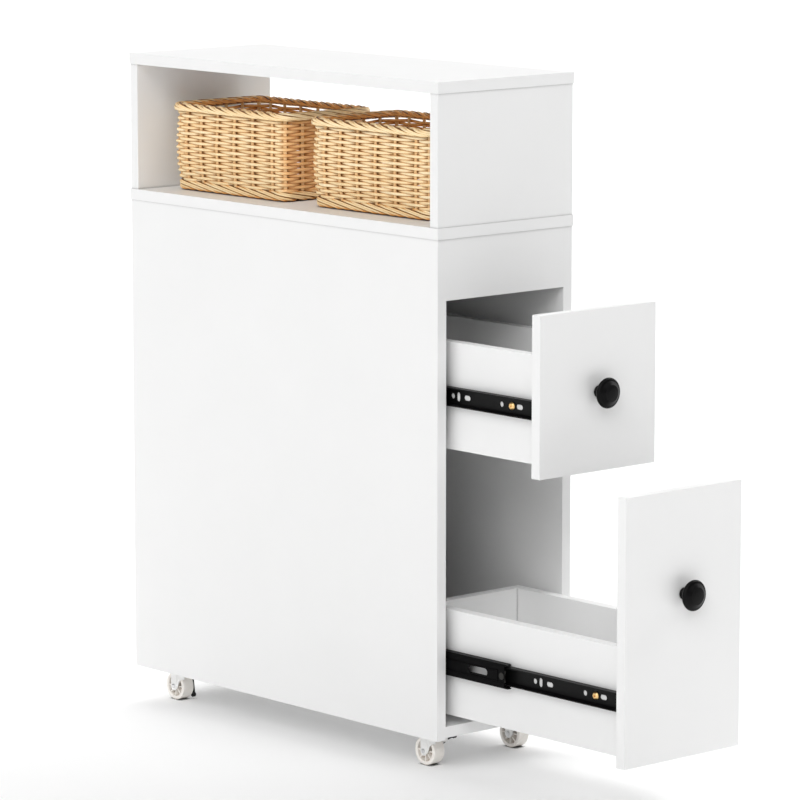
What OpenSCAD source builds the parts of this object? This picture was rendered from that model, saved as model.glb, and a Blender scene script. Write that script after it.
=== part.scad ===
// Slim rolling bathroom cabinet: an open basket shelf over two inset drawers
// on three-part ball-bearing slides, standing on four swivel casters.
// Millimetres, +Z up. The drawers face -Y and stand part-way open.
// The origin is on the floor, at the middle of the rest pose's footprint box.

/* [Carcass] */
// Width across the two side panels
body_w = 200; // [190:1:240]
// Depth of the side panels, front to back
body_d = 530; // [500:1:600]
// Height of the side panels
side_h = 553; // [540:1:620]
// Thickness of every carcass and drawer board
board_t = 12.5; // [12:0.5:13]
// How far the shelf and the top stand out past the sides
overhang = 1; // [0:0.5:4]
// Height of the front rail above the drawers
rail_h = 67; // [60:1:90]
// Height of the bottom panel's underside above the sides' lower edges
bottom_lift = 2.5; // [1:0.5:4]

/* [Basket shelf] */
// Clear height between the shelf and the top
shelf_clear = 145; // [130:1:180]
// Height of each basket
basket_h = 101.5; // [90:0.5:110]
// Width of a basket across its rim
basket_w = 140; // [120:1:150]
// Length of a basket along its rim
basket_l = 209; // [190:1:215]
// Thickness of a basket's wall
basket_t = 5; // [4:0.5:8]
// Middle of the front basket, behind the front edge of the sides
basket_front_y = 151.8; // [140:0.1:155]
// Middle of the rear basket, behind the front edge of the sides
basket_rear_y = 395.5; // [380:0.1:400]

/* [Drawers] */
// Height of the lower drawer's front
lower_front_h = 290; // [250:1:300]
// Gap beside and above the drawer fronts
front_gap = 1.5; // [1:0.5:3]
// Height of the drawer boxes' sides
box_h = 118; // [90:1:125]
// Length of the drawer boxes behind their fronts
box_l = 322; // [320:1:340]
// Thickness of the drawers' bottoms
drawer_bottom_t = 5; // [3:0.5:6]
// How far the upper drawer stands open
upper_open = 146; // [20:1:170]
// How far the lower drawer stands open
lower_open = 277.5; // [100:0.5:300]

/* [Slides] */
// Length of the slides
slide_len = 300; // [280:1:305]
// Space for a slide between a drawer side and a side panel
slide_gap = 13.25; // [12.7:0.05:13.5]
// How far the upper middle members stand out
upper_mid_out = 0; // [0:1:12]
// How far the lower middle members stand out
lower_mid_out = 111; // [80:1:140]

/* [Knobs] */
// Diameter of a knob
knob_d = 33.5; // [28:0.5:38]
// How far a knob stands out from its drawer front
knob_proj = 22; // [18:0.5:26]

/* [Casters] */
// Height of a caster under the bottom panel
caster_h = 42; // [41:0.5:46]
// Diameter of the wheels
wheel_d = 32.5; // [30:0.5:33]
// Width of the wheels
wheel_w = 15.5; // [12:0.5:16]
// How far an axle trails behind its swivel
trail = 7; // [6:0.5:8]
// Swivel centres' distance from the cabinet's middle plane
caster_x = 64; // [58:0.5:66]
// Swivel centres' distance from the front and rear edges
caster_inset = 44.7; // [40:0.1:60]
// Rest tilt of the front brake lever, upwards
lever_up = 26.2; // [10:0.1:27]
// Rest tilt of the rear brake lever, downwards when pressed
lever_down = 82.7; // [40:0.1:83]

/* [Hidden] */
$fn = 48;

// Heights and widths in the carcass frame: z = 0 at the sides' lower edges,
// y = 0 at their front edges.
open_w = body_w - 2 * board_t;
box_w = open_w - 2 * slide_gap;
front_w = open_w - 2 * front_gap;
bottom_top = bottom_lift + board_t;
rail_z = side_h - rail_h;
shelf_top = side_h + board_t;
top_z = shelf_top + shelf_clear;
floor_z = bottom_lift - caster_h;
lower_front_z = bottom_top + front_gap;
upper_front_z = lower_front_z + lower_front_h + 2;
upper_front_h = rail_z - front_gap - upper_front_z;
lower_box_z = lower_front_z + 9;
upper_box_z = upper_front_z + 13;
lower_slide_z = lower_box_z + box_h / 2 + 1.5;
upper_slide_z = upper_box_z + box_h / 2 + 0.3;
lower_knob_z = lower_front_z + lower_front_h - 112;
upper_knob_z = upper_front_z + upper_front_h / 2 - 1.3;
mid_len = slide_len - 10;
slide_y = board_t + 2;
org_y = (lower_open + knob_proj - body_d - overhang) / 2;
org_z = -floor_z;
axle_z = floor_z + wheel_d / 2;
eps = 0.05;

module place() { translate([0, org_y, org_z]) children(); }
module block(a, b) { translate(a) cube(b - a); }
module rod_x(p, r, x0, x1) { translate([x0, p[0], p[1]]) rotate([0, 90, 0]) cylinder(r = r, h = x1 - x0); }
module rod_y(p, r, y0, y1) { translate([p[0], y0, p[1]]) rotate([-90, 0, 0]) cylinder(r = r, h = y1 - y0); }
module rod_z(p, r, z0, z1) { translate([p[0], p[1], z0]) cylinder(r = r, h = z1 - z0); }

// ---- dowels: 6 mm beech pegs between the boards ----
dowel_r = 3;
dowel_ys = [60, body_d / 2, body_d - 60];
bottom_dowel_ys = [80, body_d / 2, body_d - 80];
module dowels_side_shelf(c = 0) {
  for (s = [-1, 1], y = dowel_ys)
    rod_z([s * (body_w / 2 - board_t / 2), y], dowel_r + c, side_h - 14 - c, side_h + 8 + c);
}
module dowels_bottom_side(c = 0) {
  for (s = [-1, 1], y = bottom_dowel_ys)
    rod_x([y, bottom_lift + board_t / 2], dowel_r + c,
          s > 0 ? open_w / 2 - 14 - c : -open_w / 2 - 8 - c,
          s > 0 ? open_w / 2 + 8 + c : -open_w / 2 + 14 + c);
}
module dowels_back_side(c = 0) {
  for (s = [-1, 1], z = [110, side_h / 2, side_h - 110])
    rod_x([body_d - board_t / 2, z], dowel_r + c,
          s > 0 ? open_w / 2 - 14 - c : -open_w / 2 - 8 - c,
          s > 0 ? open_w / 2 + 8 + c : -open_w / 2 + 14 + c);
}
module dowels_rail_side(c = 0) {
  for (s = [-1, 1], z = [rail_z + 14, side_h - 12])
    rod_x([board_t / 2, z], dowel_r + c,
          s > 0 ? open_w / 2 - 14 - c : -open_w / 2 - 8 - c,
          s > 0 ? open_w / 2 + 8 + c : -open_w / 2 + 14 + c);
}
module dowels_upright_shelf(c = 0) {
  for (x = [-62, 62], y = [board_t / 2, body_d - board_t / 2])
    rod_z([x, y], dowel_r + c, shelf_top - 8 - c, shelf_top + 14 + c);
}
module dowels_upright_top(c = 0) {
  for (x = [-62, 62], y = [board_t / 2, body_d - board_t / 2])
    rod_z([x, y], dowel_r + c, top_z - 14 - c, top_z + 8 + c);
}
module panel_dowels() {
  color("burlywood") place() {
    dowels_side_shelf(); dowels_bottom_side(); dowels_back_side();
    dowels_rail_side(); dowels_upright_shelf(); dowels_upright_top();
  }
}

// ---- cam locks: a disc in a board's face and a bolt into the next board ----
cam_r = 6;
cam_deep = 9;
cam_in = 9.5;
module cam_shelf(c = 0) {
  for (s = [-1, 1], y = [100, body_d - 100]) {
    rod_x([y, side_h - cam_in], cam_r + c,
          s > 0 ? open_w / 2 - c : -open_w / 2 - cam_deep - c,
          s > 0 ? open_w / 2 + cam_deep + c : -open_w / 2 + c);
    rod_z([s * (open_w / 2 + 6), y], 2 + c, side_h - cam_in, side_h + 9 + c);
  }
}
module cam_bottom(c = 0) {
  for (s = [-1, 1], y = [110, body_d - 110]) {
    rod_z([s * (open_w / 2 - cam_in), y], cam_r + c, bottom_lift - c, bottom_lift + cam_deep + c);
    rod_x([y, bottom_lift + 6], 2 + c, s > 0 ? open_w / 2 - cam_in : -open_w / 2 - 9 - c,
          s > 0 ? open_w / 2 + 9 + c : -open_w / 2 + cam_in);
  }
}
module cam_back(c = 0) {
  for (s = [-1, 1], z = [60, side_h - 60]) {
    rod_y([s * (open_w / 2 - cam_in), z], cam_r + c, body_d - cam_deep - c, body_d + c);
    rod_x([body_d - 6, z], 2 + c, s > 0 ? open_w / 2 - cam_in : -open_w / 2 - 9 - c,
          s > 0 ? open_w / 2 + 9 + c : -open_w / 2 + cam_in);
  }
}
module cam_rail(c = 0) {
  for (s = [-1, 1]) {
    rod_y([s * (open_w / 2 - cam_in), rail_z + rail_h / 2], cam_r + c, board_t - cam_deep - c, board_t + c);
    rod_x([board_t - 6, rail_z + rail_h / 2], 2 + c, s > 0 ? open_w / 2 - cam_in : -open_w / 2 - 9 - c,
          s > 0 ? open_w / 2 + 9 + c : -open_w / 2 + cam_in);
  }
}
module cam_locks() {
  color("silver") place() { cam_shelf(); cam_bottom(); cam_back(); cam_rail(); }
}

// ---- three-part ball-bearing slides ----
// Section: u runs from the side panel's face towards the drawer, w is height.
outer_w = 17.5;
mid_w = 13.3;
inner_w = 10.2;
function mirrored(p) = concat(p, [for (i = [len(p) - 1:-1:0]) [p[i][0], -p[i][1]]]);
outer_section = mirrored([[0, -16.9], [0.6, -outer_w], [10.2, -outer_w], [10.8, -16.9], [10.8, -15.2],
  [9.6, -15.2], [9.6, -16.3], [1.2, -16.3]]);
mid_section = mirrored([[1.9, -12.6], [2.6, -mid_w], [10.7, -mid_w], [11.3, -12.7], [11.3, -11.2],
  [10.3, -11.2], [10.3, -12.3], [2.9, -12.3]]);
inner_section = mirrored([[slide_gap, -9.5], [slide_gap - 0.7, -inner_w], [4.8, -inner_w], [4.2, -9.6],
  [4.2, -9], [slide_gap - 1.2, -9]]);
module along_y(len, section) {
  translate([0, len, 0]) rotate([90, 0, 0]) linear_extrude(len) polygon(section);
}
// A round-ended slot through a member's web, long in y or in z
module slot(y, z, u0, u1, l, w, upright = false) {
  d = (l - w) / 2;
  if (upright) {
    rod_x([y, z - d], w / 2, u0, u1);
    rod_x([y, z + d], w / 2, u0, u1);
    block([u0, y - w / 2, z - d], [u1, y + w / 2, z + d]);
  } else {
    rod_x([y - d, z], w / 2, u0, u1);
    rod_x([y + d, z], w / 2, u0, u1);
    block([u0, y - d, z - w / 2], [u1, y + d, z + w / 2]);
  }
}
// A window through a member's web, with corners of radius r
module window(y, u0, u1, l, w, r) {
  for (sy = [-1, 1], sz = [-1, 1]) rod_x([y + sy * (l / 2 - r), sz * (w / 2 - r)], r, u0, u1);
  block([u0, y - l / 2 + r, -w / 2], [u1, y + l / 2 - r, w / 2]);
  block([u0, y - l / 2, -w / 2 + r], [u1, y + l / 2, w / 2 - r]);
}
outer_screw_ys = [36, slide_len - 46];
inner_screw_ys = [40.6, slide_len - 38];
module outer_member() {
  difference() {
    along_y(slide_len, outer_section);
    for (y = outer_screw_ys) {
      rod_x([y, 0], 2, -1, 3);
      translate([1.2, y, 0]) rotate([0, -90, 0]) cylinder(r1 = 3.5, r2 = 1.9, h = 1.6);
    }
    slot(64, 0, -1, 3, 9.5, 4.6);
    slot(150, 0, -1, 3, 30, 6.5);
    slot(slide_len - 76, 0, -1, 3, 9, 4.6, true);
  }
}
module mid_member() {
  difference() {
    union() {
      along_y(mid_len, mid_section);
      for (s = [-1, 1]) block([2.8, 14.6, s * 6 - 1.5], [3.4, mid_len - 14.6, s * 6 + 1.5]);
    }
    // two pressed beads along the web, three windows, and the web and lips cut back at the front end
    for (s = [-1, 1]) block([1, 15.6, s * 6 - 0.8], [2.7, mid_len - 15.6, s * 6 + 0.8]);
    for (y = [46.6, mid_len / 2, mid_len - 46.6]) window(y, 1, 5, 29.6, 8.8, 4.2);
    block([1, -1, -11.6], [4, 4.6, 11.6]);
    block([8, -1, -15], [12, 4.6, 15]);
    // seat of the latch
    block([1, 4, -6.6], [2.4, 15.4, 6.6]);
  }
}
module inner_member() {
  u0 = slide_gap - 2; u1 = slide_gap + 1;
  difference() {
    along_y(slide_len, inner_section);
    slot(29.4, 0, u0, u1, 10.4, 5.7);
    for (y = inner_screw_ys) rod_x([y, 0], 2.2, u0, u1);
    rod_x([57.4, 0], 3.05, u0, u1);
    slot(111.9, 0, u0, u1, 10.4, 5.7);
    slot(125.9, 0, u0, u1, 10.2, 5.6, true);
    rod_x([134.7, 0], 3.05, u0, u1);
    slot(224, 0, u0, u1, 40, 13);
    slot(slide_len - 24, 0, u0, u1, 10.4, 5.7);
  }
}
// side: -1 left, +1 right; y is the member's front end, z its middle
module on_side(side, y, z) {
  if (side < 0) translate([-open_w / 2, y, z]) children();
  else mirror([1, 0, 0]) translate([-open_w / 2, y, z]) children();
}
module slide_outer(side, z) { color([0.08, 0.08, 0.08]) place() on_side(side, slide_y, z) outer_member(); }
module slide_mid(side, out, z) { color([0.09, 0.09, 0.09]) place() on_side(side, slide_y - out, z) mid_member(); }
module slide_inner(side, out, z) { color([0.08, 0.08, 0.08]) place() on_side(side, slide_y - 1 - out, z) inner_member(); }

// Countersunk screws that hold the outer members to the side panels
module outer_screw(c = 0) {
  translate([1.2 + c, 0, 0]) rotate([0, -90, 0]) cylinder(r1 = 3.4 + c, r2 = 1.7 + c, h = 1.6 + c);
  rod_x([0, 0], 1.6 + c, -9.5 - c, 0);
}
module cross_cut(depth) {
  // a cross recess in a head whose face is at x = 0 and looks towards -x
  block([-1, -0.4, -1.7], [depth, 0.4, 1.7]);
  block([-1, -1.7, -0.4], [depth, 1.7, 0.4]);
}
module outer_screws_at(c = 0) {
  for (side = [-1, 1], z = [upper_slide_z, lower_slide_z], y = outer_screw_ys)
    on_side(side, slide_y + y, z) outer_screw(c);
}
module slide_outer_screws() {
  color("goldenrod") place() difference() {
    outer_screws_at();
    for (side = [-1, 1], z = [upper_slide_z, lower_slide_z], y = outer_screw_ys)
      on_side(side, slide_y + y, z) translate([1.2, 0, 0]) mirror([1, 0, 0]) cross_cut(0.9);
  }
}

// ---- carcass boards ----
module side_panel(side) {
  color("white") place() difference() {
    if (side < 0) block([-body_w / 2, 0, 0], [-open_w / 2, body_d, side_h]);
    else block([open_w / 2, 0, 0], [body_w / 2, body_d, side_h]);
    dowels_side_shelf(eps); dowels_bottom_side(eps); dowels_back_side(eps); dowels_rail_side(eps);
    cam_shelf(eps); cam_bottom(eps); cam_back(eps); cam_rail(eps);
    outer_screws_at(eps);
  }
}
module side_panel_left() { side_panel(-1); }
module side_panel_right() { side_panel(1); }
module bottom_panel() {
  color("white") place() difference() {
    block([-open_w / 2, 0, bottom_lift], [open_w / 2, body_d, bottom_top]);
    dowels_bottom_side(eps); cam_bottom(eps); caster_screws_at(eps);
  }
}
module back_panel() {
  color("white") place() difference() {
    block([-open_w / 2, body_d - board_t, bottom_top], [open_w / 2, body_d, side_h]);
    dowels_back_side(eps); cam_back(eps);
  }
}
module front_rail() {
  color("white") place() difference() {
    block([-open_w / 2, 0, rail_z], [open_w / 2, board_t, side_h]);
    dowels_rail_side(eps); cam_rail(eps);
  }
}
module shelf_panel() {
  color("white") place() difference() {
    block([-body_w / 2 - overhang, -overhang, side_h], [body_w / 2 + overhang, body_d + overhang, shelf_top]);
    dowels_side_shelf(eps); dowels_upright_shelf(eps); cam_shelf(eps);
  }
}
module upright(y) {
  color("white") place() difference() {
    block([-body_w / 2, y, shelf_top], [body_w / 2, y + board_t, top_z]);
    dowels_upright_shelf(eps); dowels_upright_top(eps);
  }
}
module upright_front() { upright(0); }
module upright_rear() { upright(body_d - board_t); }
module top_panel() {
  color("white") place() difference() {
    block([-body_w / 2 - overhang, -overhang, top_z], [body_w / 2 + overhang, body_d + overhang, top_z + board_t]);
    dowels_upright_top(eps);
  }
}

// ---- drawers ----
// out: how far the drawer stands open; bz: underside of its box
groove = 4.5;
function back_face(out) = board_t - out;
module box_bottom(out, bz, c = 0) {
  block([-box_w / 2 + board_t - groove - c, back_face(out) - groove - c, bz + 10],
        [box_w / 2 - board_t + groove + c, back_face(out) + box_l - board_t + groove + c, bz + 10 + drawer_bottom_t + 2 * c]);
}
drawer_cam_zs = [-32, 32];
module drawer_cams_at(out, bz, c = 0) {
  for (s = [-1, 1], dz = drawer_cam_zs) {
    z = bz + box_h / 2 + dz;
    y = back_face(out) + 9.5;
    rod_x([y, z], 6.5 + c, s > 0 ? box_w / 2 - 9 - c : -box_w / 2 - c, s > 0 ? box_w / 2 + c : -box_w / 2 + 9 + c);
    rod_y([s * (box_w / 2 - 6), z], 2 + c, back_face(out) - 9 - c, y);
    if (c == 0) rod_x([y, z], 7.6, s > 0 ? box_w / 2 : -box_w / 2 - 0.3, s > 0 ? box_w / 2 + 0.3 : -box_w / 2);
  }
}
module drawer_cams(out, bz) { color([0.96, 0.96, 0.95]) place() drawer_cams_at(out, bz); }
module slide_screws_at(out, z, c = 0) {
  for (side = [-1, 1], y = inner_screw_ys)
    on_side(side, slide_y - 1 - out + y, z) translate([slide_gap - 1.2, 0, 0]) {
      if (c == 0) difference() {
        union() {
          rod_x([0, 0], 4.4, -1, 0);
          translate([-1, 0, 0]) rotate([0, -90, 0]) cylinder(r1 = 4.4, r2 = 2.8, h = 1.1);
          rod_x([0, 0], 1.6, 0, 11.5);
        }
        translate([-2.1, 0, 0]) cross_cut(1.4);
      }
      else rod_x([0, 0], 1.6 + c, 0, 11.5 + c);
    }
}
module slide_screws(out, z) { color("goldenrod") place() slide_screws_at(out, z); }
module drawer_side(side, out, bz) {
  color("white") place() difference() {
    if (side < 0) block([-box_w / 2, back_face(out), bz], [-box_w / 2 + board_t, back_face(out) + box_l, bz + box_h]);
    else block([box_w / 2 - board_t, back_face(out), bz], [box_w / 2, back_face(out) + box_l, bz + box_h]);
    box_bottom(out, bz, 0.1);
    drawer_cams_at(out, bz, eps);
    slide_screws_at(out, bz == lower_box_z ? lower_slide_z : upper_slide_z, eps);
  }
}
module drawer_back(out, bz) {
  color("white") place() difference() {
    block([-box_w / 2 + board_t, back_face(out) + box_l - board_t, bz], [box_w / 2 - board_t, back_face(out) + box_l, bz + box_h]);
    box_bottom(out, bz, 0.1);
  }
}
module drawer_bottom(out, bz) { color([0.95, 0.95, 0.94]) place() box_bottom(out, bz); }
module knob_screw_at(out, kz, c = 0) {
  translate([0, back_face(out), kz]) {
    if (c == 0) rod_y([0, 0], 4, 0, 2.2);
    rod_y([0, 0], 2 + c, -board_t - 9 - c, 0.01);
  }
}
module drawer_front(out, z, h, bz, kz) {
  color("white") place() difference() {
    block([-front_w / 2, back_face(out) - board_t, z], [front_w / 2, back_face(out), z + h]);
    box_bottom(out, bz, 0.1);
    drawer_cams_at(out, bz, eps);
    knob_screw_at(out, kz, eps);
  }
}
module knob_screw(out, kz) {
  color("silver") place() difference() {
    knob_screw_at(out, kz);
    translate([0, back_face(out) + 2.2, kz]) rotate([0, 0, -90]) cross_cut(1.3);
  }
}
// Knob: a round foot, a waisted stem and a broad, slightly domed cap
knob_r = knob_d / 2;
knob_section = [[0, 0], [6.4, 0], [6.4, 1.2], [5.6, 2.4], [4.9, 4.2], [4.7, 6.2], [5.1, 8.2], [6.6, 10],
  [9.6, 11.4], [knob_r - 2.6, 12.3], [knob_r - 0.9, 13.2], [knob_r - 0.15, 14.5], [knob_r, 15.6],
  [knob_r - 0.3, 16.7], [knob_r - 1.3, 17.7], [knob_r - 3.4, 18.5], [knob_r - 7.4, knob_proj - 0.75],
  [knob_r - 12, knob_proj - 0.15], [0, knob_proj]];
module knob(out, kz) {
  color([0.06, 0.06, 0.06]) place() translate([0, back_face(out) - board_t, kz]) rotate([90, 0, 0])
    difference() {
      rotate_extrude($fn = 64) polygon(knob_section);
      translate([0, 0, -1]) cylinder(r = 2 + eps, h = 11);
    }
}

// ---- casters ----
fork_x = wheel_w / 2 + 0.5;
fork_t = 1.2;
strip_t = 0.45;
swivels = [[-caster_x, caster_inset], [caster_x, caster_inset],
           [-caster_x, body_d - caster_inset], [caster_x, body_d - caster_inset]];
caster_hole = [14, 11];
module caster_screws_at(c = 0) {
  for (p = swivels, sx = [-1, 1], sy = [-1, 1]) {
    q = [p[0] + sx * caster_hole[0], p[1] + sy * caster_hole[1]];
    rod_z(q, 1.6 + c, bottom_lift - 2.01, bottom_lift + 8.5 + c);
    if (c == 0) {
      rod_z(q, 3.2, bottom_lift - 3.2, bottom_lift - 2);
      translate([q[0], q[1], bottom_lift - 3.9]) cylinder(r1 = 2, r2 = 3.2, h = 0.7);
    }
  }
}
module caster_screws() {
  color("silver") place() difference() {
    caster_screws_at();
    for (p = swivels, sx = [-1, 1], sy = [-1, 1])
      translate([p[0] + sx * caster_hole[0], p[1] + sy * caster_hole[1], bottom_lift - 3.9])
        rotate([0, -90, 0]) cross_cut(1.3);
  }
}
race_r = 9.3;
module caster_plates() {
  color("gainsboro") place() for (p = swivels) translate([p[0], p[1], bottom_lift]) difference() {
    union() {
      block([-18, -11, -2], [18, 11, 0]);
      block([-14, -15, -2], [14, 15, 0]);
      for (sx = [-1, 1], sy = [-1, 1]) rod_z([sx * 14, sy * 11], 4, -2, 0);
      rod_z([0, 0], race_r - 0.6, -3.2, -1);
      translate([0, 0, -4.2]) cylinder(r1 = race_r - 2.6, r2 = race_r - 0.6, h = 1);
      rod_z([0, 0], 3, -8.3, -1);
      rod_z([0, 0], 4.2, -9.1, -8.2);
    }
    for (sx = [-1, 1], sy = [-1, 1]) rod_z([sx * caster_hole[0], sy * caster_hole[1]], 1.9, -3, 1);
  }
}
// Fork: origin at the swivel axis and at the axle's height; the axle is at y = +trail
fork_top = bottom_lift - axle_z - 7.9 + 1.2;
lever_p = [trail - 8, 9.5];
lever_x = [10, 13.5];
lever_len = 21.2;
module fork(stud) {
  y0 = trail - 18.9; y1 = trail + 5; zt = fork_top - 1.2; x1 = fork_x + fork_t;
  difference() {
    union() {
      for (s = [-1, 1]) mirror([s > 0 ? 0 : 1, 0, 0]) {
        translate([fork_x, 0, 0]) {
          rotate([90, 0, 90]) linear_extrude(fork_t)
            polygon([[y1, 0], [y1, fork_top], [y0, fork_top], [y0, 4], [trail - 7.04, 0], [trail - 4.3, -3.1]]);
          rod_x([trail, 0], 5.3, 0, fork_t);
        }
        // pressed strip from the hub up to the top
        translate([x1 - 0.1, 0, 0]) {
          rotate([90, 0, 90]) linear_extrude(strip_t + 0.1)
            polygon([[trail + 4.4, 0], [trail + 4.4, fork_top - 1.6], [trail - 6.1, fork_top - 1.6], [trail - 6.1, 1.5], [trail - 3.7, -2.4]]);
          rod_x([trail, 0], 4.4, 0, strip_t + 0.1);
        }
      }
      block([-x1, y0, zt], [x1, y1, fork_top]);
      rod_z([0, 0], race_r, fork_top - 0.1, fork_top + 2.2);
      if (stud) {
        rod_x(lever_p, 1.2, x1 - 0.1, lever_x[1] + 0.9);
        rod_x(lever_p, 2.2, lever_x[1] + 0.1, lever_x[1] + 0.9);
      }
    }
    for (s = [-1, 1]) rod_x([trail - 18.5, -1], 11.5, s > 0 ? fork_x - 1 : -x1 - 1, s > 0 ? x1 + 1 : -fork_x + 1);
    rod_z([0, 0], 3 + eps, zt - 1, fork_top + 3);
    translate([0, 0, fork_top + 1.1]) cylinder(r1 = race_r - 2.4, r2 = race_r + 1.2, h = 2.2);
    rod_x([trail, 0], 2 + 0.02, -20, 20);
  }
}
module axle() {
  x = fork_x + fork_t + strip_t;
  rod_x([0, 0], 2, -x - 0.3, x + 0.3);
  for (s = [-1, 1]) mirror([s > 0 ? 0 : 1, 0, 0]) translate([x, 0, 0]) rotate([0, 90, 0]) {
    cylinder(r = 2.7, h = 0.45);
    translate([0, 0, 0.45]) cylinder(r1 = 2.7, r2 = 1.5, h = 0.45);
  }
}
module wheel() {
  r = wheel_d / 2; w = wheel_w / 2;
  rotate([0, 90, 0]) union() {
    rotate_extrude($fn = 72) polygon([[2 + eps, -w - 0.3], [4.6, -w - 0.3], [4.8, -1], [r - 4.4, -1],
      [r - 4.1, -w + 0.5], [r - 3.6, -w], [r - 1.1, -w], [r - 0.3, -w + 0.35], [r, -w + 1.1], [r, w - 1.1],
      [r - 0.3, w - 0.35], [r - 1.1, w], [r - 3.6, w], [r - 4.1, w - 0.5], [r - 4.4, 1], [4.8, 1],
      [4.6, w + 0.3], [2 + eps, w + 0.3]]);
    for (a = [0:45:315]) rotate([0, 0, a]) translate([4.2, -0.65, -w + 1.2]) cube([r - 8, 1.3, 2 * w - 2.4]);
  }
}
// Brake lever: a boss on the fork's stud, an arm beside the fork and a rolled end
module lever(tilt) {
  rotate([-tilt, 0, 0]) difference() {
    union() {
      rod_x([0, 0], 3, lever_x[0], lever_x[1]);
      block([lever_x[0], -lever_len, -1.1], [lever_x[1], 0, 1.1]);
      rod_x([-lever_len, 0], 2.7, lever_x[0], lever_x[1]);
    }
    rod_x([0, 0], 1.25, 0, 20);
    rod_x([-lever_len, 0], 1.75, 0, 20);
  }
}
module at_swivel(i) { place() translate([swivels[i][0], swivels[i][1], axle_z]) children(); }
module caster_fork(i) { color("whitesmoke") at_swivel(i) fork(i == 0 || i == 2); }
module caster_axle(i) { color("silver") at_swivel(i) translate([0, trail, 0]) axle(); }
module caster_wheel(i) { color([0.9, 0.86, 0.8]) at_swivel(i) translate([0, trail, 0]) wheel(); }
module brake_lever(i, tilt) { color([0.12, 0.12, 0.12]) at_swivel(i) translate([0, lever_p[0], lever_p[1]]) lever(tilt); }

// ---- baskets: round-cornered shells with a thicker rim ----
module round_box(hx, hy, r, z0, z1) {
  for (sx = [-1, 1], sy = [-1, 1]) rod_z([sx * (hx - r), sy * (hy - r)], r, z0, z1);
  block([-hx, -hy + r, z0], [hx, hy - r, z1]);
  block([-hx + r, -hy, z0], [hx - r, hy, z1]);
}
module basket_shell(y) {
  hx = basket_w / 2; hy = basket_l / 2; h = basket_h; t = basket_t;
  translate([0, y, shelf_top]) difference() {
    union() {
      round_box(hx - 7.5, hy - 5, 12, 0, 10);
      round_box(hx - 4.5, hy - 3, 14, 9.9, h - 13);
      round_box(hx, hy, 16, h - 13.4, h);
    }
    round_box(hx - 7.5 - t, hy - 5 - t, 8, t, 12);
    round_box(hx - 4.5 - t, hy - 3 - t, 9, 11.9, h + 1);
  }
}
module basket(y) { color([0.87, 0.7, 0.43]) place() basket_shell(y); }

side_panel_left();
side_panel_right();
bottom_panel();
back_panel();
front_rail();
shelf_panel();
upright_front();
upright_rear();
top_panel();
panel_dowels();
cam_locks();
slide_outer(-1, upper_slide_z);  // slide_outer_upper_left
slide_outer(1, upper_slide_z);  // slide_outer_upper_right
slide_outer(-1, lower_slide_z);  // slide_outer_lower_left
slide_outer(1, lower_slide_z);  // slide_outer_lower_right
slide_outer_screws();
slide_mid(-1, upper_mid_out, upper_slide_z);  // slide_mid_upper_left
slide_mid(1, upper_mid_out, upper_slide_z);  // slide_mid_upper_right
slide_mid(-1, lower_mid_out, lower_slide_z);  // slide_mid_lower_left
slide_mid(1, lower_mid_out, lower_slide_z);  // slide_mid_lower_right
drawer_front(upper_open, upper_front_z, upper_front_h, upper_box_z, upper_knob_z);  // drawer_front_upper
drawer_side(-1, upper_open, upper_box_z);  // drawer_side_upper_left
drawer_side(1, upper_open, upper_box_z);  // drawer_side_upper_right
drawer_back(upper_open, upper_box_z);  // drawer_back_upper
drawer_bottom(upper_open, upper_box_z);  // drawer_bottom_upper
knob(upper_open, upper_knob_z);  // knob_upper
knob_screw(upper_open, upper_knob_z);  // knob_screw_upper
slide_inner(-1, upper_open, upper_slide_z);  // slide_inner_upper_left
slide_inner(1, upper_open, upper_slide_z);  // slide_inner_upper_right
slide_screws(upper_open, upper_slide_z);  // slide_screws_upper
drawer_cams(upper_open, upper_box_z);  // drawer_cams_upper
drawer_front(lower_open, lower_front_z, lower_front_h, lower_box_z, lower_knob_z);  // drawer_front_lower
drawer_side(-1, lower_open, lower_box_z);  // drawer_side_lower_left
drawer_side(1, lower_open, lower_box_z);  // drawer_side_lower_right
drawer_back(lower_open, lower_box_z);  // drawer_back_lower
drawer_bottom(lower_open, lower_box_z);  // drawer_bottom_lower
knob(lower_open, lower_knob_z);  // knob_lower
knob_screw(lower_open, lower_knob_z);  // knob_screw_lower
slide_inner(-1, lower_open, lower_slide_z);  // slide_inner_lower_left
slide_inner(1, lower_open, lower_slide_z);  // slide_inner_lower_right
slide_screws(lower_open, lower_slide_z);  // slide_screws_lower
drawer_cams(lower_open, lower_box_z);  // drawer_cams_lower
caster_plates();
caster_screws();
caster_fork(0);  // caster_fork_front_left
caster_axle(0);  // caster_axle_front_left
caster_wheel(0);  // caster_wheel_front_left
caster_fork(1);  // caster_fork_front_right
caster_axle(1);  // caster_axle_front_right
caster_wheel(1);  // caster_wheel_front_right
caster_fork(2);  // caster_fork_rear_left
caster_axle(2);  // caster_axle_rear_left
caster_wheel(2);  // caster_wheel_rear_left
caster_fork(3);  // caster_fork_rear_right
caster_axle(3);  // caster_axle_rear_right
caster_wheel(3);  // caster_wheel_rear_right
brake_lever(0, lever_up);  // brake_lever_front_left
brake_lever(2, -lever_down);  // brake_lever_rear_left
basket(basket_front_y);  // basket_front
basket(basket_rear_y);  // basket_rear
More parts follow.
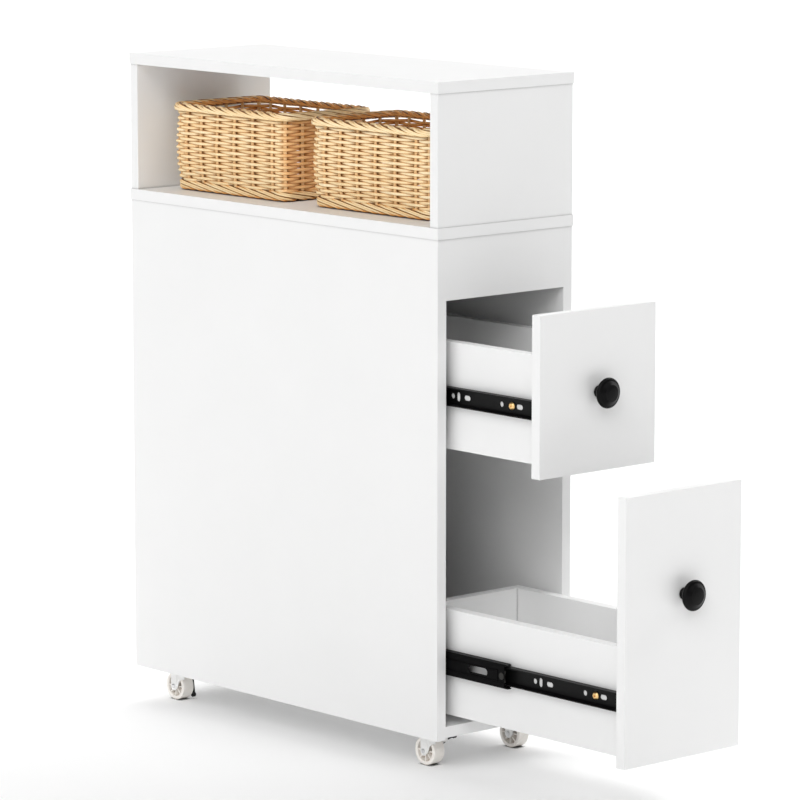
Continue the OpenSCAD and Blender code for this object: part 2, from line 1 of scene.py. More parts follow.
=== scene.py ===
import bpy, bmesh, math, random
import numpy as np
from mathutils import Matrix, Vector


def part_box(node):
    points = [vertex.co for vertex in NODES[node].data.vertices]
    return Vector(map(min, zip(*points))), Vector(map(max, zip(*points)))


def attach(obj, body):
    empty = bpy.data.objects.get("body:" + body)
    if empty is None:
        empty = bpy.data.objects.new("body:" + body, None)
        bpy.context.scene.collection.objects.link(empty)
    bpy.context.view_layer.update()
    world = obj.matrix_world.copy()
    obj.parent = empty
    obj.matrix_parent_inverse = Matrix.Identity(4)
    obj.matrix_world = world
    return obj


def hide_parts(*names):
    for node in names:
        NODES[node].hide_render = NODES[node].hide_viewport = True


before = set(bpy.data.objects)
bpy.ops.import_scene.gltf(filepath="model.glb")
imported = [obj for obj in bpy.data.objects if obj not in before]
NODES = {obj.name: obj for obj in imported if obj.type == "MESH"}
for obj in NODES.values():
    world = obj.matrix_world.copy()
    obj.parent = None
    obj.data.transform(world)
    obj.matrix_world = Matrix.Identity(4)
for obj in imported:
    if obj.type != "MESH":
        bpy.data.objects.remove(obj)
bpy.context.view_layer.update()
scene = bpy.context.scene
MM = 0.001

# ------------------------------------------------------------------ camera
cam_data = bpy.data.cameras.new("cam")
cam = bpy.data.objects.new("cam", cam_data)
scene.collection.objects.link(cam)
cam_data.sensor_width = 36.0
cam_data.lens = 202.651
cam_data.clip_start = 0.1
cam_data.clip_end = 60.0
cam.location = (-3.328329, -3.682012, 1.178079)
cam.rotation_euler = (math.radians(90 - 8.972), 0.0, math.radians(-41.669))
scene.camera = cam

# ------------------------------------------------------------------ materials
def new_mat(name):
    m = bpy.data.materials.new(name)
    m.use_nodes = True
    nt = m.node_tree
    b = nt.nodes["Principled BSDF"]
    return m, nt, b

def obj_coord(nt, scale):
    tc = nt.nodes.new("ShaderNodeTexCoord")
    mp = nt.nodes.new("ShaderNodeMapping")
    mp.inputs["Scale"].default_value = scale
    nt.links.new(tc.outputs["Object"], mp.inputs["Vector"])
    return mp.outputs["Vector"]

def noise(nt, vec, scale, detail=3.0, rough=0.5, dist=0.0):
    n = nt.nodes.new("ShaderNodeTexNoise")
    n.inputs["Scale"].default_value = scale
    n.inputs["Detail"].default_value = detail
    n.inputs["Roughness"].default_value = rough
    n.inputs["Distortion"].default_value = dist
    nt.links.new(vec, n.inputs["Vector"])
    return n.outputs["Fac"]

def ramp(nt, fac, stops):
    r = nt.nodes.new("ShaderNodeValToRGB")
    els = r.color_ramp.elements
    els[0].position, els[0].color = stops[0][0], (*stops[0][1], 1)
    els[1].position, els[1].color = stops[-1][0], (*stops[-1][1], 1)
    for p, c in stops[1:-1]:
        e = els.new(p)
        e.color = (*c, 1)
    nt.links.new(fac, r.inputs["Fac"])
    return r.outputs["Color"]

def map_range(nt, fac, lo, hi, a=0.0, b=1.0):
    m = nt.nodes.new("ShaderNodeMapRange")
    m.inputs["From Min"].default_value = a
    m.inputs["From Max"].default_value = b
    m.inputs["To Min"].default_value = lo
    m.inputs["To Max"].default_value = hi
    nt.links.new(fac, m.inputs["Value"])
    return m.outputs["Result"]

def bump(nt, bsdf, height, strength, distance):
    b = nt.nodes.new("ShaderNodeBump")
    b.inputs["Strength"].default_value = strength
    b.inputs["Distance"].default_value = distance
    nt.links.new(height, b.inputs["Height"])
    nt.links.new(b.outputs["Normal"], bsdf.inputs["Normal"])

def board_mat(name="white_melamine", dark=0.50):
    m, nt, b = new_mat(name)
    v = obj_coord(nt, (1, 1, 1))
    soft = noise(nt, v, 9.0, 4.0, 0.55)
    foil = ramp(nt, soft, [(0.25, (0.792, 0.793, 0.791)), (0.75, (0.808, 0.808, 0.806))])
    # painted shade: ambient occlusion darkens the foil in creases, holes and at joints between boards
    ao = nt.nodes.new("ShaderNodeAmbientOcclusion")
    ao.samples = 4
    ao.inputs["Distance"].default_value = 0.003
    painted_joint_shade = ramp(nt, ao.outputs["AO"], [(0.45, (dark, dark, dark)), (0.92, (1.0, 1.0, 1.0))])
    mix = nt.nodes.new("ShaderNodeMix")
    mix.data_type = "RGBA"
    mix.blend_type = "MULTIPLY"
    mix.inputs[0].default_value = 1.0
    nt.links.new(foil, mix.inputs[6])
    nt.links.new(painted_joint_shade, mix.inputs[7])
    nt.links.new(mix.outputs[2], b.inputs["Base Color"])
    fine = noise(nt, v, 1400.0, 3.0, 0.6)
    nt.links.new(map_range(nt, noise(nt, v, 60.0, 3.0), 0.40, 0.50), b.inputs["Roughness"])
    b.inputs["IOR"].default_value = 1.47
    b.inputs["Specular IOR Level"].default_value = 0.42
    bump(nt, b, fine, 0.10, 0.00006)
    return m

def plate_mat(name, dark, light, rough, metallic, spec=0.5, grain=500.0, streak=None, bump_d=0.00004):
    m, nt, b = new_mat(name)
    v = obj_coord(nt, streak or (1, 1, 1))
    n1 = noise(nt, v, grain, 4.0, 0.6)
    nt.links.new(ramp(nt, n1, [(0.3, dark), (0.7, light)]), b.inputs["Base Color"])
    nt.links.new(map_range(nt, noise(nt, v, grain * 0.35, 3.0), rough[0], rough[1]), b.inputs["Roughness"])
    b.inputs["Metallic"].default_value = metallic
    b.inputs["Specular IOR Level"].default_value = spec
    bump(nt, b, n1, 0.25, bump_d)
    return m

def paint_crease_shade(mat, distance, low, high, tint):
    """Paints shade into a material's base colour where a surface faces it within the distance: painted shade in
    creases, recesses and at contacts.
    """
    nt = mat.node_tree
    b = nt.nodes["Principled BSDF"]
    link = b.inputs["Base Color"].links[0]
    src = link.from_socket
    ao = nt.nodes.new("ShaderNodeAmbientOcclusion")
    ao.samples = 4
    ao.inputs["Distance"].default_value = distance
    shade = ramp(nt, ao.outputs["AO"], [(low, tint), (high, (1.0, 1.0, 1.0))])
    mix = nt.nodes.new("ShaderNodeMix")
    mix.data_type = "RGBA"
    mix.blend_type = "MULTIPLY"
    mix.inputs[0].default_value = 1.0
    nt.links.new(src, mix.inputs[6])
    nt.links.new(shade, mix.inputs[7])
    nt.links.new(mix.outputs[2], b.inputs["Base Color"])
    return shade

M = {}
M["board"] = board_mat()
M["board_side"] = board_mat("white_melamine_drawer_side", 0.88)   # lighter painted shade in creases, for the drawer sides seen through the slides' holes
M["slide"] = plate_mat("black_electrocoat", (0.0028, 0.0028, 0.0030), (0.0045, 0.0045, 0.0048), (0.36, 0.48), 0.0, 0.13, 700.0, (1, 0.25, 1))
# a darker copy of the black electrocoat: painted shade for the middle slide members inside the carcass
M["slide_mid"] = plate_mat("black_electrocoat_shade_painted", (0.0009, 0.0009, 0.0010), (0.0017, 0.0017, 0.0019), (0.36, 0.48), 0.0, 0.05, 700.0, (1, 0.25, 1))
M["brass"] = plate_mat("yellow_passivate", (0.83, 0.50, 0.17), (0.95, 0.70, 0.36), (0.26, 0.38), 1.0, 0.5, 900.0)
M["zinc"] = plate_mat("bright_zinc", (0.60, 0.60, 0.61), (0.78, 0.78, 0.78), (0.25, 0.40), 1.0, 0.5, 400.0)
M["caster"] = plate_mat("pale_plated_steel", (0.88, 0.88, 0.87), (0.93, 0.93, 0.92), (0.32, 0.46), 0.10, 0.5, 350.0)
M["knob"] = plate_mat("satin_black", (0.0012, 0.0012, 0.0013), (0.0020, 0.0020, 0.0022), (0.36, 0.42), 0.0, 0.11, 1100.0)
M["nylon"] = plate_mat("cream_nylon", (0.93, 0.885, 0.83), (0.965, 0.93, 0.885), (0.44, 0.56), 0.0, 0.45, 260.0, None, 0.00006)
# painted shade in the wheel's recesses and near its floor contact
paint_crease_shade(M["nylon"], 0.0035, 0.12, 0.55, (0.52, 0.44, 0.36))
M["black_plastic"] = plate_mat("black_plastic", (0.005, 0.005, 0.005), (0.010, 0.010, 0.010), (0.35, 0.5), 0.0, 0.30, 800.0)
M["latch"] = plate_mat("olive_plastic", (0.006, 0.0055, 0.004), (0.010, 0.009, 0.0065), (0.30, 0.4), 0.0, 0.35, 900.0)
M["cap"] = plate_mat("white_cap", (0.79, 0.791, 0.788), (0.804, 0.804, 0.802), (0.42, 0.5), 0.0, 0.42, 500.0)
M["dowel"] = plate_mat("beech", (0.50, 0.34, 0.18), (0.66, 0.47, 0.28), (0.55, 0.7), 0.0, 0.3, 120.0, (1, 0.1, 1))
M["ball"] = plate_mat("steel_ball", (0.55, 0.55, 0.56), (0.68, 0.68, 0.69), (0.12, 0.2), 1.0, 0.5, 300.0)

def willow_mat():
    m, nt, b = new_mat("peeled_willow")
    # the tone attribute: red is the rod's own tone, green is painted shade by how deep the surface sits in the weave,
    # blue is painted shade on inside-facing surfaces
    at = nt.nodes.new("ShaderNodeAttribute")
    at.attribute_name = "tone"
    sep = nt.nodes.new("ShaderNodeSeparateColor")
    nt.links.new(at.outputs["Color"], sep.inputs["Color"])
    uv = nt.nodes.new("ShaderNodeUVMap")
    uv.uv_map = "strand"
    mp = nt.nodes.new("ShaderNodeMapping")
    mp.inputs["Scale"].default_value = (1.0, 14.0, 1.0)
    nt.links.new(uv.outputs["UV"], mp.inputs["Vector"])
    streak = noise(nt, mp.outputs["Vector"], 1.0, 5.0, 0.6, 0.2)
    mp2 = nt.nodes.new("ShaderNodeMapping")
    mp2.inputs["Scale"].default_value = (0.22, 0.6, 1.0)
    nt.links.new(uv.outputs["UV"], mp2.inputs["Vector"])
    patch = noise(nt, mp2.outputs["Vector"], 1.0, 2.0, 0.5)
    peel = ramp(nt, sep.outputs["Red"], [(0.0, (0.90, 0.65, 0.37)), (0.35, (0.96, 0.75, 0.45)), (0.7, (0.99, 0.82, 0.53)), (1.0, (1.0, 0.87, 0.61))])
    # painted shade: surfaces deep in the weave darken to brown and near black
    painted_shade = ramp(nt, sep.outputs["Green"], [(0.0, (0.10, 0.038, 0.010)), (0.30, (0.36, 0.175, 0.062)), (0.62, (0.91, 0.76, 0.56)), (1.0, (1.0, 1.0, 1.0))])
    deep = nt.nodes.new("ShaderNodeMix")
    deep.data_type = "RGBA"
    deep.blend_type = "MULTIPLY"
    deep.inputs[0].default_value = 1.0
    nt.links.new(peel, deep.inputs[6])
    nt.links.new(painted_shade, deep.inputs[7])
    # painted shade: inside-facing surfaces tinted a darker brown
    painted_inside_shade = nt.nodes.new("ShaderNodeMix")
    painted_inside_shade.data_type = "RGBA"
    painted_inside_shade.blend_type = "MULTIPLY"
    nt.links.new(sep.outputs["Blue"], painted_inside_shade.inputs[0])
    nt.links.new(deep.outputs[2], painted_inside_shade.inputs[6])
    painted_inside_shade.inputs[7].default_value = (0.94, 0.61, 0.34, 1.0)
    base = painted_inside_shade.outputs[2]
    dark = ramp(nt, streak, [(0.30, (0.74, 0.64, 0.52)), (0.62, (1.0, 1.0, 1.0))])
    mix = nt.nodes.new("ShaderNodeMix")
    mix.data_type = "RGBA"
    mix.blend_type = "MULTIPLY"
    mix.inputs[0].default_value = 0.40
    nt.links.new(base, mix.inputs[6])
    nt.links.new(dark, mix.inputs[7])
    warm = ramp(nt, patch, [(0.35, (0.93, 0.84, 0.70)), (0.65, (1.0, 1.0, 1.0))])
    mix2 = nt.nodes.new("ShaderNodeMix")
    mix2.data_type = "RGBA"
    mix2.blend_type = "MULTIPLY"
    mix2.inputs[0].default_value = 0.45
    nt.links.new(mix.outputs[2], mix2.inputs[6])
    nt.links.new(warm, mix2.inputs[7])
    nt.links.new(mix2.outputs[2], b.inputs["Base Color"])
    nt.links.new(map_range(nt, streak, 0.50, 0.36), b.inputs["Roughness"])
    b.inputs["Specular IOR Level"].default_value = 0.30
    bump(nt, b, streak, 0.35, 0.00012)
    return m

M["willow"] = willow_mat()

# ------------------------------------------------------------------ CAD nodes: materials, softened edges
def set_mat(obj, mat):
    obj.data.materials.clear()
    obj.data.materials.append(mat)

def soften(obj, width, segments=2, angle=38):
    w = obj.modifiers.new("weld", "WELD")
    w.merge_threshold = 0.000002
    bv = obj.modifiers.new("edge", "BEVEL")
    bv.width = width
    bv.segments = segments
    bv.limit_method = "ANGLE"
    bv.angle_limit = math.radians(angle)
    bv.use_clamp_overlap = True
    bv.harden_normals = True

RULES = [
    ("slide_outer_screws", "brass"), ("slide_screws", "brass"), ("slide_mid", "slide_mid"), ("slide_", "slide"),
    ("knob_screw", "zinc"), ("knob_", "knob"), ("drawer_cams", "cap"),
    ("drawer_side", "board_side"), ("drawer_", "board"),
    ("side_panel", "board"), ("bottom_panel", "board"), ("back_panel", "board"), ("front_rail", "board"),
    ("shelf_panel", "board"), ("upright_", "board"), ("top_panel", "board"), ("panel_dowels", "dowel"),
    ("cam_locks", "zinc"), ("caster_screws", "zinc"), ("caster_plates", "caster"), ("caster_fork", "caster"),
    ("caster_axle", "zinc"), ("caster_wheel", "nylon"), ("brake_lever", "black_plastic"), ("basket_", "willow"),
]
for name, obj in NODES.items():
    for prefix, key in RULES:
        if name.startswith(prefix):
            set_mat(obj, M[key])
            break
    if name.startswith(("side_panel", "bottom_panel", "back_panel", "front_rail", "shelf_panel", "upright_", "top_panel",
                        "drawer_front", "drawer_side", "drawer_back")):
        soften(obj, 0.0006)

# ------------------------------------------------------------------ strand meshes
class Strands:
    """Collects swept rods into one mesh, with a UV along each rod, a tone per rod and painted shade per vertex."""
    def __init__(self, seed):
        self.v, self.f, self.uv, self.col = [], [], [], []
        self.n = 0
        self.rng = random.Random(seed)

    def rod(self, pts, radii, sides=7, closed=False, tone=None, up=(0, 0, 1), caps=True, painted_shade=None, painted_inside_shade=0.0):
        """painted_shade: painted shade by how exposed the surface is, 0 deep in the weave (darkest) to 1 outside: a
        number, or a function of the angles round the rod (0 upwards) that gives an array of points by sides.
        painted_inside_shade: painted shade on inside-facing surfaces, given the same way."""
        P = np.asarray(pts, float)
        n = len(P)
        R = np.broadcast_to(np.asarray(radii, float), (n,))
        if closed:
            T = np.roll(P, -1, 0) - np.roll(P, 1, 0)
        else:
            T = np.gradient(P, axis=0)
        T /= np.linalg.norm(T, axis=1)[:, None]
        U = np.asarray(up, float)
        N = np.broadcast_to(U, P.shape) - (T @ U)[:, None] * T
        ln = np.linalg.norm(N, axis=1)
        if ln.min() < 0.25:  # the rod runs along up somewhere: carry the normal along instead
            N = np.zeros_like(P)
            start = np.array([1.0, 0, 0]) if abs(T[0, 0]) < 0.8 else np.array([0, 1.0, 0])
            c = start - (T[0] @ start) * T[0]
            for i in range(n):
                c = c - (T[i] @ c) * T[i]
                c /= np.linalg.norm(c)
                N[i] = c
        else:
            N = N / ln[:, None]
        B = np.cross(T, N)
        a = np.linspace(0, 2 * np.pi, sides, endpoint=False)
        ring = (P[:, None, :] + R[:, None, None] * (np.cos(a)[None, :, None] * N[:, None, :] + np.sin(a)[None, :, None] * B[:, None, :]))
        base = self.n
        self.v.append(ring.reshape(-1, 3))
        self.n += n * sides
        d = np.concatenate([[0], np.cumsum(np.linalg.norm(np.diff(P, axis=0), axis=1))]) * 100.0
        off = self.rng.random() * 50.0
        offv = self.rng.random() * 7.0
        tone = self.rng.random() if tone is None else tone
        # painted shade per vertex: exposure and inside tint, beside the rod's own tone
        e = np.ones((n, sides)) if painted_shade is None else np.broadcast_to(np.asarray(painted_shade(a) if callable(painted_shade) else painted_shade, float), (n, sides))
        w = np.broadcast_to(np.asarray(painted_inside_shade(a) if callable(painted_inside_shade) else painted_inside_shade, float), (n, sides))
        self.col.append(np.stack([np.full(n * sides, tone), np.clip(e, 0, 1).reshape(-1), np.clip(w, 0, 1).reshape(-1)], 1))
        last = n if closed else n - 1
        for i in range(last):
            j = (i + 1) % n
            dj = d[i] + np.linalg.norm(P[j] - P[i]) * 100.0 if closed and j == 0 else d[j]
            for k in range(sides):
                k2 = (k + 1) % sides
                self.f.append((base + i * sides + k, base + i * sides + k2, base + j * sides + k2, base + j * sides + k))
                v0, v1 = k / sides, (k + 1) / sides
                self.uv.append(((d[i] + off, v0 + offv), (d[i] + off, v1 + offv), (dj + off, v1 + offv), (dj + off, v0 + offv)))
        if not closed and caps:
            for i, order in ((0, range(sides - 1, -1, -1)), (n - 1, range(sides))):
                self.f.append(tuple(base + i * sides + k for k in order))
                self.uv.append(tuple((d[i] + off, offv + k / sides) for k in order))

    def build(self, name, mat):
        V = np.concatenate(self.v)
        me = bpy.data.meshes.new(name)
        me.from_pydata(V.tolist(), [], self.f)
        uv = me.uv_layers.new(name="strand")
        at = me.attributes.new("tone", "FLOAT_COLOR", "POINT")
        uv.data.foreach_set("uv", [c for f in self.uv for q in f for c in q])
        C = np.concatenate(self.col)
        at.data.foreach_set("color", np.concatenate([C, np.ones((len(C), 1))], 1).reshape(-1))
        me.polygons.foreach_set("use_smooth", [True] * len(me.polygons))
        me.update()
        me.materials.append(mat)
        o = bpy.data.objects.new(name, me)
        scene.collection.objects.link(o)
        return o

def smooth01(t):
    t = np.clip(t, 0, 1)
    return t * t * (3 - 2 * t)

class Outline:
    """A rounded rectangle whose size changes with height; u in [0, 1) runs -X wall (towards -Y), -Y wall, +X wall, +Y wall."""
    def __init__(self, yc, a0, b0, r0):
        self.yc = yc
        self.a0, self.b0, self.r0 = a0, b0, r0
        ly, lx, arc = 2 * (b0 - r0), 2 * (a0 - r0), math.pi * r0 / 2
        self.seg = np.cumsum([0, ly, arc, lx, arc, ly, arc, lx, arc])
        self.total = self.seg[-1]

    def at(self, s, da=0.0, db=0.0, dr=0.0):
        """Point (x, y) and outward normal at arc length s (of the reference outline), with the size changed."""
        s = np.atleast_1d(np.asarray(s, float)) % self.total
        a, b, r = self.a0 + da, self.b0 + db, self.r0 + dr
        a, b, r = (np.broadcast_to(np.asarray(q, float), s.shape) for q in (a, b, r))
        k = np.clip(np.searchsorted(self.seg, s, side="right") - 1, 0, 7)
        t = (s - self.seg[k]) / (self.seg[k + 1] - self.seg[k])
        x, y, nx, ny = (np.zeros_like(s) for _ in range(4))
        for i in range(8):
            m = k == i
            if not m.any():
                continue
            tt, A, B, R = t[m], a[m], b[m], r[m]
            if i == 0:
                x[m], y[m], nx[m], ny[m] = -A, (B - R) * (1 - 2 * tt), -1, 0
            elif i == 2:
                x[m], y[m], nx[m], ny[m] = -(A - R) * (1 - 2 * tt), -B, 0, -1
            elif i == 4:
                x[m], y[m], nx[m], ny[m] = A, -(B - R) * (1 - 2 * tt), 1, 0
            elif i == 6:
                x[m], y[m], nx[m], ny[m] = (A - R) * (1 - 2 * tt), B, 0, 1
            else:
                ang = math.pi + (math.pi / 2) * ((i - 1) // 2) + tt * math.pi / 2
                cx = {1: -1, 3: 1, 5: 1, 7: -1}[i] * (A - R)
                cy = {1: -1, 3: -1, 5: 1, 7: 1}[i] * (B - R)
                x[m], y[m] = cx + R * np.cos(ang), cy + R * np.sin(ang)
                nx[m], ny[m] = np.cos(ang), np.sin(ang)
        return x, y + self.yc, nx, ny

def basket(node, seed, warm=0.0):
    lo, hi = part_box(node)
    z0 = lo[2] * 1000
    H = (hi[2] - lo[2]) * 1000
    yc = (lo[1] + hi[1]) * 500
    hx, hy = (hi[0] - lo[0]) * 500, (hi[1] - lo[1]) * 500
    st = Strands(seed)
    rng = st.rng
    a_ref, b_ref, r_ref = hx - 6.6, hy - 6.6, 12.5
    out = Outline(yc, a_ref, b_ref, r_ref)

    def grow(z):
        """How far the wall stands out from its reference at a height above the base."""
        return np.interp(z, [0, 10, 30, 55, 80, 90], [-3.6, -2.9, -0.6, 0.3, -1.0, -1.6])

    # stakes: six along each long wall, four along each short one, one in each corner
    long_off = [77.5, 51.2, 21.9, -9.0, -41.8, -76.3]
    short_off = [-37.5, -12.5, 12.5, 37.5]
    seg = out.seg
    S = []
    for y in long_off:
        S.append((b_ref - r_ref) - y)
    S.append(seg[1] + (seg[2] - seg[1]) * 0.5)
    for x in short_off:
        S.append(seg[2] + (a_ref - r_ref) + x)
    S.append(seg[3] + (seg[4] - seg[3]) * 0.5)
    for y in sorted(long_off):
        S.append(seg[4] + (b_ref - r_ref) + y)
    S.append(seg[5] + (seg[6] - seg[5]) * 0.5)
    for x in sorted(short_off, reverse=True):
        S.append(seg[6] + (a_ref - r_ref) - x)
    S.append(seg[7] + (seg[8] - seg[7]) * 0.5)
    S = np.array(sorted(s % out.total for s in S))
    n = len(S)

    r_w, r_s = 1.70, 1.3
    rows = 24
    pitch = 3.35
    zrow0 = 12.6
    top_weave = zrow0 + (rows - 1) * pitch

    # weavers
    per = 10
    for k in range(rows):
        zk = zrow0 + k * pitch
        tone = min(1.0, max(0.0, rng.gauss(0.62, 0.16)))
        amp = 2.35
        s_all, off_all, z_all, r_all = [], [], [], []
        ph = rng.random() * 6.28
        for i in range(n):
            s0 = S[i]
            s1 = S[(i + 1) % n] + (out.total if i == n - 1 else 0)
            sign = 1 if (i + k) % 2 == 0 else -1
            for j in range(per):
                t = j / per
                s_all.append(s0 + (s1 - s0) * t)
                c = sign * math.cos(math.pi * t)
                c = math.copysign(abs(c) ** (0.8 if c > 0 else 1.6), c)
                off_all.append(amp * c)
                z_all.append(zk + 0.09 * math.sin(ph + 0.7 * i + 2.1 * t) + 0.10 * c)
                r_all.append(r_w * (1 + 0.03 * math.sin(ph * 2 + i * 1.3)) * (1 + 0.12 * c))
        s_all, off_all, z_all = map(np.array, (s_all, off_all, z_all))
        g = grow(z_all)
        x, y, nx, ny = out.at(s_all, g, g, 0.0)
        P = np.stack([x + nx * off_all, y + ny * off_all, z_all + z0], 1) * MM
        # painted shade: rods darken where they pass behind a stake, deep in the weave
        def far(a, o=off_all, r=np.array(r_all)):
            side = np.sin(a)[None, :]
            look = np.where(np.abs(side) < 0.05, np.sign(o)[:, None], np.sign(side))
            return smooth01((o[:, None] * look + r[:, None] * np.abs(side) + 1.7) / 2.3) * (0.62 + 0.38 * np.abs(side) ** 0.6)
        # painted shade on walls facing -Y, scaled by warm
        painted_wall_shade = warm * smooth01((-ny - 0.3) / 0.5)[:, None]
        st.rod(P, np.array(r_all) * MM, sides=8, closed=True, tone=tone, painted_shade=far, painted_inside_shade=lambda a, f=painted_wall_shade: np.maximum(smooth01(0.5 - 1.2 * np.sin(a))[None, :], f))

    # stakes, in pairs
    for i in range(n):
        for sd in (-1, 1):
            zz = np.linspace(3.0, H - 5.0, 16)
            g = grow(zz)
            x, y, nx, ny = out.at(np.full(16, S[i] + sd * 0.85), g, g, 0.0)
            wob = 0.45 + 0.2 * np.sin(zz * 0.9 + i * 2.0)
            P = np.stack([x + nx * wob, y + ny * wob, zz + z0], 1) * MM
            # the stakes get a slight painted shade
            st.rod(P, r_s * (1 + 0.06 * rng.uniform(-1, 1)) * MM, sides=8, tone=min(1, max(0, rng.gauss(0.45, 0.12))), up=(1, 0, 0) if abs(nx[0]) < 0.5 else (0, 1, 0),
                   painted_shade=0.80, painted_inside_shade=0.1)

    # borders: groups of rods that come up from inside, cross over and run down the outside in a long slant
    def border(path, group, places, r, phase, dark, thin):
        """path: (along the wall, out from the reference line, height) of a rod's centre line; places: (along, out,
        exposure) of a group's rods, the exposure being painted shade; dark: (height, how dark) of the painted shade on
        the group's outer flanks."""
        K = np.array(path, float)
        k = np.linspace(0, len(K) - 1, 30)
        i = np.clip(k.astype(int), 0, len(K) - 2)
        u = (k - i)[:, None]
        p0, p1, p2, p3 = K[np.maximum(i - 1, 0)], K[i], K[i + 1], K[np.minimum(i + 2, len(K) - 1)]
        Q = 0.5 * (2 * p1 + (p2 - p0) * u + (2 * p0 - 5 * p1 + 4 * p2 - p3) * u ** 2 + (3 * p1 - p0 - 3 * p2 + p3) * u ** 3)
        m = int(round(out.total / group))
        gp = out.total / m
        ends = np.linspace(0, 1, len(Q))
        taper = np.clip(np.minimum(ends / 0.05, (1 - ends) / 0.10), 0.0, 1.0) ** 0.5
        g = np.interp(Q[:, 2], [h for h, w in dark], [w for h, w in dark])
        low = smooth01((Q[:, 2] - 0.2) / 2.4)[:, None]
        for gi in range(m):
            for q, (ahead, lift, lit) in enumerate(places):
                s = phase + gi * gp + ahead + rng.uniform(-0.4, 0.4) + Q[:, 0]
                d = Q[:, 1] + lift + rng.uniform(-0.12, 0.12)
                x, y, nx, ny = out.at(s, 0, 0, 0)
                P = np.stack([x + nx * d, y + ny * d, Q[:, 2] + rng.uniform(-0.12, 0.12) + z0], 1) * MM
                radii = r * (1 + 0.05 * rng.uniform(-1, 1)) * (0.4 + 0.6 * taper) * MM
                side = {0: -1, len(places) - 1: 1}.get(q, 0)
                # painted shade: dark gashes on the group's outer flanks, thin lines between its rods, shade under the
                # rods near the base, darker towards the bottom
                def flank(a, side=side, lit=lit):
                    cos = np.cos(a)[None, :]
                    f = smooth01((side * cos - 0.25) / 0.55) if side else 0.0
                    pair = thin * smooth01(((-side * cos if side else np.abs(cos)) - 0.45) / 0.5)
                    under = (1 - smooth01((Q[:, 2] - 1.8) / 2.0))[:, None] * smooth01((-cos - 0.25) / 0.55)
                    return lit * (1 - g[:, None] * f) * (1 - pair) * (1 - 0.95 * under) * (0.35 + 0.65 * low)
                # painted shade on the parts of the border that run inward
                back = smooth01((-0.9 - Q[:, 1]) / 1.8)[:, None]
                st.rod(P, radii, sides=10, tone=min(1, max(0, rng.gauss(0.72, 0.13))), painted_shade=flank, painted_inside_shade=back)

    # filler rods inside the borders, painted dark as shade between the rods
    def core(cr, cd, cz, painted_shade=0.1):
        s = np.linspace(0, out.total, 160, endpoint=False)
        x, y, nx, ny = out.at(s, 0, 0, 0)
        st.rod(np.stack([x + nx * cd, y + ny * cd, np.full_like(x, cz + z0)], 1) * MM, cr * MM, sides=8, closed=True, tone=0.2, painted_shade=painted_shade)

    o_r = hx - a_ref - 1.75                    # the outermost rods' centre line
    border([(-28, -2.8, H - 6.2), (-22, -3.8, H - 5.7), (-16, -4.0, H - 4.8), (-11, -3.3, H - 3.4), (-6, -1.9, H - 2.3), (-2, -0.4, H - 1.8), (3.5, 1.3, H - 1.8),
            (8, o_r - 1.3, H - 2.6), (14, o_r - 0.3, H - 4.0), (22, o_r, H - 5.7), (31, o_r - 0.1, H - 7.2), (40, o_r - 0.7, H - 8.1), (48, o_r - 2.4, H - 8.2)],
           group=21.5, places=((0, 0.0, 1.0), (9.7, 0.1, 1.0)), r=1.6, phase=6.0,
           dark=[(H - 8.2, 0.3), (H - 7.2, 0.7), (H - 6.0, 0.9), (H - 1.5, 0.9)], thin=0.3)
    core(2.2, -1.5, H - 5.0, 0.35)
    core(2.4, 1.6, H - 4.7, 0.2)
    core(1.6, o_r - 3.0, H - 7.0)
    o_b = -1.0
    border([(-8, -6.2, 9.2), (-3, -3.4, 10.7), (3, o_b - 0.8, 10.7), (12, o_b, 9.2), (24, o_b, 7.1), (36, o_b - 0.1, 5.0), (45, o_b - 0.4, 3.3),
            (51, o_b - 1.6, 2.0), (56, o_b - 3.6, 1.9), (61, o_b - 5.8, 2.6)],
           group=29.1, places=((0, 0.1, 1.0), (12.3, -0.1, 0.98)), r=1.62, phase=9.0, dark=[(2.5, 0.55), (4.5, 0.85), (7.5, 0.95), (11.0, 0.95)], thin=0.6)
    core(1.7, o_b - 3.2, 5.2, 0.05)
    core(1.7, o_b - 3.2, 8.4, 0.05)
    # a near-black rod under the base border: painted contact shadow
    core(1.2, o_b - 5.4, 1.3, 0.0)

    # woven base: rods along Y, weavers along X
    bx, by = a_ref - 4.5, b_ref - 4.5
    zb = z0 + 4.6
    xs = np.linspace(-bx + 6, bx - 6, 6)
    for x in xs:
        yy = np.linspace(yc - by, yc + by, 12)
        P = np.stack([np.full_like(yy, x), yy, np.full_like(yy, zb)], 1) * MM
        # the base rods get painted shade
        st.rod(P, 1.7 * MM, sides=7, tone=0.45, painted_shade=0.45)
    m = int((2 * by) / 3.3)
    for k in range(m):
        y = yc - by + 1.7 + k * (2 * by - 3.4) / (m - 1)
        xr = bx - 0.5
        inset = max(0.0, 9.0 - (by - abs(y - yc)))
        xr -= inset * 0.55
        t = np.linspace(-xr, xr, 25)
        wv = 1.5 * np.cos((t - xs[0]) / (xs[1] - xs[0]) * math.pi) * (1 if k % 2 else -1)
        P = np.stack([t, np.full_like(t, y), zb + wv], 1) * MM
        st.rod(P, 1.5 * MM, sides=6, tone=min(1, max(0, rng.gauss(0.6, 0.15))), up=(0, 1, 0), painted_shade=0.62)

    o = st.build(node + "_woven", M["willow"])
    return o

# warm: painted shade on the rear basket's walls that face the front basket
for node, body, seed, warm in (("basket_front", "basket_front_body", 11, 0.0), ("basket_rear", "basket_rear_body", 29, 0.65)):
    o = basket(node, seed, warm)
    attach(o, body)
    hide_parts(node)

